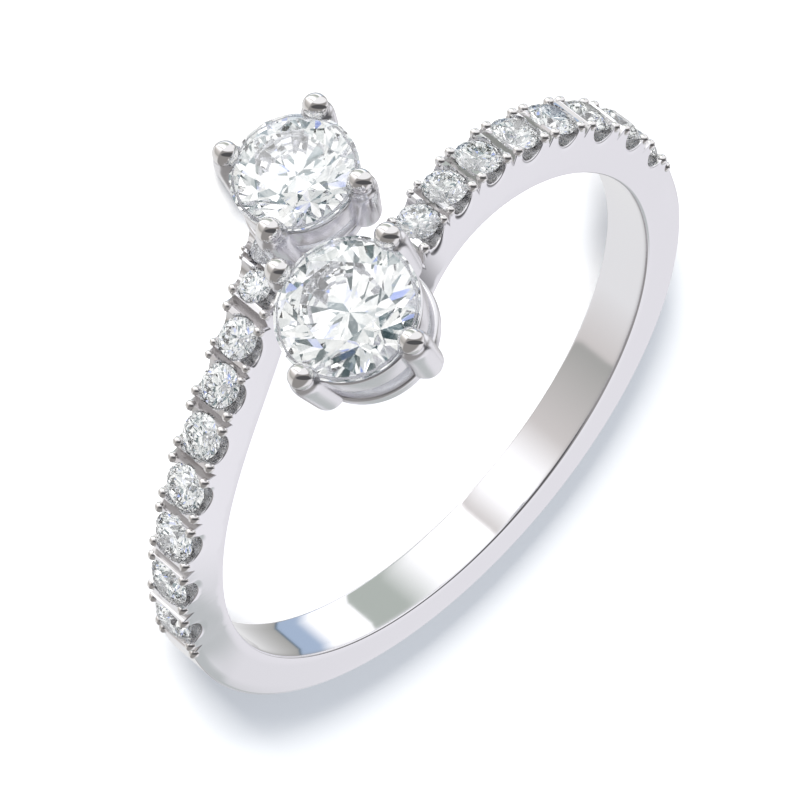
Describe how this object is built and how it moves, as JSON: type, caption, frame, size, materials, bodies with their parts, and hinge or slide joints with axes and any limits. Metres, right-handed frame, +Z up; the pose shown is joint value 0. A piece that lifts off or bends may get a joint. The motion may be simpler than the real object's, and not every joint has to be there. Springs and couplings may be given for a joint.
{
  "type": "toi et moi ring",
  "caption": "Slim white metal ring with two round brilliants of different size side by side in ball-prong baskets, and small brilliants in U cuts along both wavy shoulders.",
  "frame": {"origin": "centre of the finger hole, midway across the plain shank", "axes": "The ring lies on its side. The stones face -Y. +Z is up, away from the surface it lies on. The finger hole's axis leans 9.20 degrees from +Z towards +Y, because the ring rests on a prong foot of the small stone and on the far edge of the band. +X runs across the finger hole."},
  "size_m": [0.0194, 0.0217, 0.0086],
  "materials": {
    "white_gold": "polished",
    "diamond": "polished"
  },
  "bodies": {
    "root": {"metal": "white_gold", "large_stone": "diamond", "small_stone": "diamond", "row_to_small_1": "diamond", "row_to_small_2": "diamond", "row_to_small_3": "diamond", "row_to_small_4": "diamond", "row_to_small_5": "diamond", "row_to_small_6": "diamond", "row_to_small_7": "diamond", "row_to_small_8": "diamond", "row_to_small_9": "diamond", "row_to_large_1": "diamond", "row_to_large_2": "diamond", "row_to_large_3": "diamond", "row_to_large_4": "diamond", "row_to_large_5": "diamond", "row_to_large_6": "diamond", "row_to_large_7": "diamond", "row_to_large_8": "diamond"}
  },
  "joints": []
}
